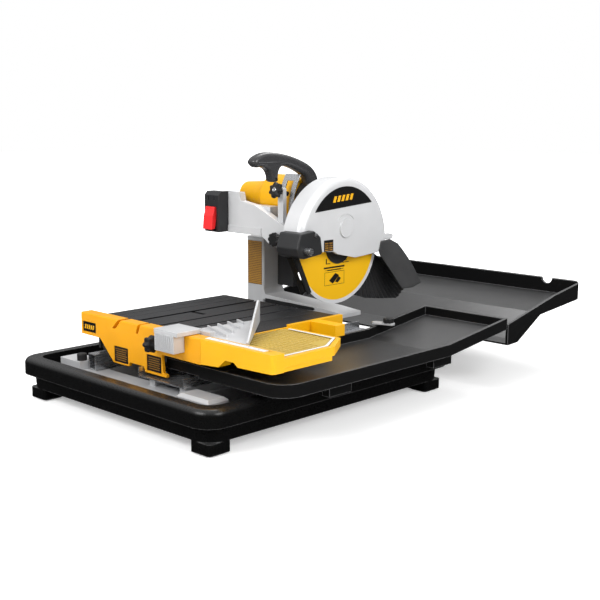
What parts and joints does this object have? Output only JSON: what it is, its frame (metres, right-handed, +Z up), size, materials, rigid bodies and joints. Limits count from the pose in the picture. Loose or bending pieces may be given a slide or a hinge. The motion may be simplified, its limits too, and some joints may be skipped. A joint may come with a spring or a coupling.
{
  "type": "wet tile saw",
  "caption": "Bench wet tile saw: water pan with side and rear splash trays, rolling cutting cart with fence, and a plunging, bevelling blade head.",
  "frame": {"origin": "on the ground, at the middle of the outline", "axes": "+Z up, +Y from the operator to the rear tray, +X to the operator's right"},
  "size_m": [0.672, 1.08, 0.4982],
  "materials": {
    "black_tub": "satin moulded polypropylene",
    "tray_plastic": "moulded charcoal plastic",
    "rubber_black": "matt moulded rubber",
    "yellow_paint": "semi-gloss yellow coating",
    "yellow_plastic": "satin yellow plastic",
    "pale_yellow": "ribbed pale yellow deck",
    "table_grey": "dark textured coating",
    "silver_paint": "light silver hammer coat",
    "cast_alloy": "satin cast aluminium",
    "steel": "brushed stainless",
    "dark_plastic": "fine textured dark plastic",
    "red_plastic": "satin red",
    "label_ink": null,
    "label_amber": null,
    "scale_white": "printed scale strip",
    "blade_face": "painted blade face",
    "copper": "wound copper"
  },
  "bodies": {
    "base": {"pan": "black_tub", "foot_pads": "rubber_black", "side_tray": "tray_plastic", "rear_tray": "tray_plastic", "chassis": "cast_alloy", "slide_track": "steel", "left_rail": "steel", "frame_bolts": "steel", "cart_stop": "cast_alloy", "water_pump": "black_tub", "pump_hose": "rubber_black", "column": "cast_alloy", "column_panel": "dark_plastic", "column_label": "label_amber", "pivot_bracket": "cast_alloy", "bevel_pin": "steel"},
    "stop_knob": {"cart_stop_knob": "rubber_black"},
    "lock_knob": {"lock_knob": "rubber_black"},
    "cart": {"cart_table": "table_grey", "front_fence": "yellow_paint", "label_plates": "label_ink", "fence_scale": "scale_white", "carriage": "dark_plastic", "roller_bracket": "dark_plastic"},
    "front_rollers": {"front_rollers": "rubber_black"},
    "rear_rollers": {"rear_rollers": "rubber_black"},
    "left_roller": {"left_roller": "rubber_black"},
    "extension": {"extension": "yellow_plastic", "extension_deck": "pale_yellow", "extension_rods": "steel"},
    "edge_guide": {"edge_guide": "cast_alloy"},
    "guide_knob": {"guide_knob": "rubber_black"},
    "arm": {"arm": "silver_paint", "plunge_pin": "steel", "switch_box": "dark_plastic"},
    "switch_paddle": {"switch_paddle": "red_plastic"},
    "bevel_knob": {"bevel_knob": "rubber_black"},
    "depth_knob": {"depth_knob": "rubber_black"},
    "head": {"motor_housing": "yellow_plastic", "stator": "copper", "head_casting": "table_grey", "spindle_bearings": "steel", "drive_belt": "rubber_black", "guard": "silver_paint", "guard_backplate": "silver_paint", "guard_badge": "label_ink", "front_block": "dark_plastic", "guard_screws": "steel", "water_nozzles": "rubber_black", "water_hoses": "rubber_black", "splash_curtain": "rubber_black", "rear_flap": "rubber_black", "handle": "dark_plastic", "depth_strap": "steel"},
    "blade": {"blade": "blade_face", "blade_flanges": "dark_plastic", "blade_nut": "steel", "spindle": "steel", "spindle_pulley": "steel"},
    "armature": {"armature": "steel"}
  },
  "joints": [
    {"name": "cart_slide", "type": "slide", "parent": "base", "child": "cart", "axis": [0, 1, 0], "range_m": [0, 0.45], "deforming": ["splash_curtain", "rear_flap"]},
    {"name": "front_roller_spin", "type": "hinge", "parent": "cart", "child": "front_rollers", "pos_m": [0.078, -0.402, 0.1026], "axis": [1, 0, 0], "range_deg": [-2160, 10]},
    {"name": "rear_roller_spin", "type": "hinge", "parent": "cart", "child": "rear_rollers", "pos_m": [0.078, -0.318, 0.1026], "axis": [1, 0, 0], "range_deg": [-2160, 10]},
    {"name": "left_roller_spin", "type": "hinge", "parent": "cart", "child": "left_roller", "pos_m": [-0.178, -0.421, 0.1141], "axis": [1, 0, 0], "range_deg": [-2600, 10]},
    {"name": "extension_pull", "type": "slide", "parent": "cart", "child": "extension", "axis": [1, 0, 0], "range_m": [0, 0.08]},
    {"name": "guide_slide", "type": "slide", "parent": "cart", "child": "edge_guide", "axis": [1, 0, 0], "range_m": [0, 0.06]},
    {"name": "guide_knob_turn", "type": "hinge", "parent": "edge_guide", "child": "guide_knob", "pos_m": [0.038, -0.477, 0.159], "axis": [1, 0, 0], "range_deg": [0, 270]},
    {"name": "stop_knob_turn", "type": "hinge", "parent": "base", "child": "stop_knob", "pos_m": [0.146, 0.066, 0.143], "axis": [0, 0, 1], "range_deg": [0, 180]},
    {"name": "lock_knob_turn", "type": "hinge", "parent": "base", "child": "lock_knob", "pos_m": [-0.205, -0.469, 0.095], "axis": [0, 0, 1], "range_deg": [0, 180]},
    {"name": "bevel_tilt", "type": "hinge", "parent": "base", "child": "arm", "pos_m": [-0.041, 0.1, 0.328], "axis": [0, 1, 0], "range_deg": [0, 45]},
    {"name": "bevel_knob_turn", "type": "hinge", "parent": "arm", "child": "bevel_knob", "pos_m": [-0.062, -0.066, 0.31], "axis": [0, 1, 0], "range_deg": [0, 180]},
    {"name": "depth_knob_turn", "type": "hinge", "parent": "arm", "child": "depth_knob", "pos_m": [-0.059, 0.105, 0.369], "axis": [0, -0.9659, 0.2588], "range_deg": [0, 270]},
    {"name": "switch_press", "type": "hinge", "parent": "arm", "child": "switch_paddle", "pos_m": [-0.246, -0.0895, 0.367], "axis": [1, 0, 0], "range_deg": [-12, 6]},
    {"name": "head_plunge", "type": "hinge", "parent": "arm", "child": "head", "pos_m": [-0.138, 0.105, 0.369], "axis": [1, 0, 0], "range_deg": [-25, 1.5]},
    {"name": "blade_spin", "type": "hinge", "parent": "head", "child": "blade", "pos_m": [0.026, 0.035, 0.297], "axis": [1, 0, 0], "continuous": true},
    {"name": "armature_spin", "type": "hinge", "parent": "head", "child": "armature", "pos_m": [-0.15, 0.035, 0.392], "axis": [1, 0, 0], "continuous": true}
  ],
  "couplings": [
    {"joint": "front_roller_spin", "follows": "cart_slide", "rad_per_m": -83.333},
    {"joint": "rear_roller_spin", "follows": "cart_slide", "rad_per_m": -83.333},
    {"joint": "left_roller_spin", "follows": "cart_slide", "rad_per_m": -100},
    {"joint": "armature_spin", "follows": "blade_spin", "ratio": 1.6667}
  ]
}
